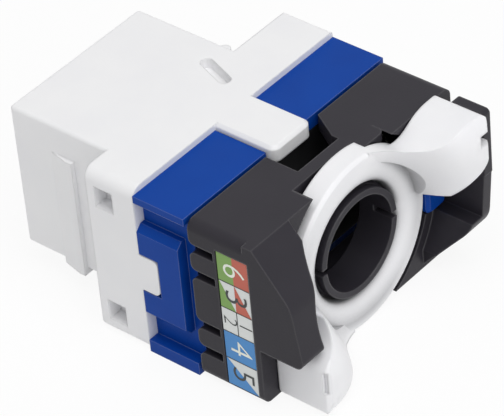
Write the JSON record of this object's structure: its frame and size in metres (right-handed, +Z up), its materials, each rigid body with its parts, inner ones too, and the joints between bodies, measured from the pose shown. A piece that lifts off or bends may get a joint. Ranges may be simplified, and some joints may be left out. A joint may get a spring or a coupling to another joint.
{
  "type": "keystone jack",
  "caption": "Tool-less network jack that snaps into a panel: plug socket at one end, cable entry with a winged lock ring at the other.",
  "frame": {"origin": "centre of the base: middle of the length and width, on the surface that the jack lies on", "axes": "+Y from the plug face to the cable entry, +Z up with the jack lying on its long side, +X to the side with the printed label that is seen first"},
  "size_m": [0.0262, 0.034, 0.0172],
  "materials": {
    "white_moulding": "fine moulded satin",
    "blue_moulding": "fine moulded satin",
    "dark_moulding": "fine moulded satin",
    "carrier_moulding": "moulded",
    "board_laminate": "coated laminate",
    "contact_gold": "plated wire",
    "blade_tin": "tin-plated sheet",
    "label_film": "printed film"
  },
  "bodies": {
    "jack_body": {"front_housing": "white_moulding", "contact_carrier": "carrier_moulding", "circuit_board": "board_laminate", "spring_contact_1": "contact_gold", "spring_contact_2": "contact_gold", "spring_contact_3": "contact_gold", "spring_contact_4": "contact_gold", "spring_contact_5": "contact_gold", "spring_contact_6": "contact_gold", "spring_contact_7": "contact_gold", "spring_contact_8": "contact_gold", "idc_block": "blue_moulding", "pair_separator": "carrier_moulding", "idc_contact_1": "blade_tin", "idc_contact_2": "blade_tin", "idc_contact_3": "blade_tin", "idc_contact_4": "blade_tin", "idc_contact_5": "blade_tin", "idc_contact_6": "blade_tin", "idc_contact_7": "blade_tin", "idc_contact_8": "blade_tin"},
    "guide": {"wire_guide": "dark_moulding", "label_left": "label_film", "label_right": "label_film"},
    "ring": {"lock_ring": "white_moulding"}
  },
  "joints": [
    {"name": "guide_slide", "type": "slide", "parent": "jack_body", "child": "guide", "axis": [0, 1, 0], "range_m": [0, 0.002]},
    {"name": "ring_turn", "type": "hinge", "parent": "guide", "child": "ring", "pos_m": [0, 0.00983, 0.0086], "axis": [0, 1, 0], "range_deg": [0, 50]}
  ],
  "couplings": [
    {"joint": "ring_turn", "follows": "guide_slide", "rad_per_m": 436.33}
  ]
}
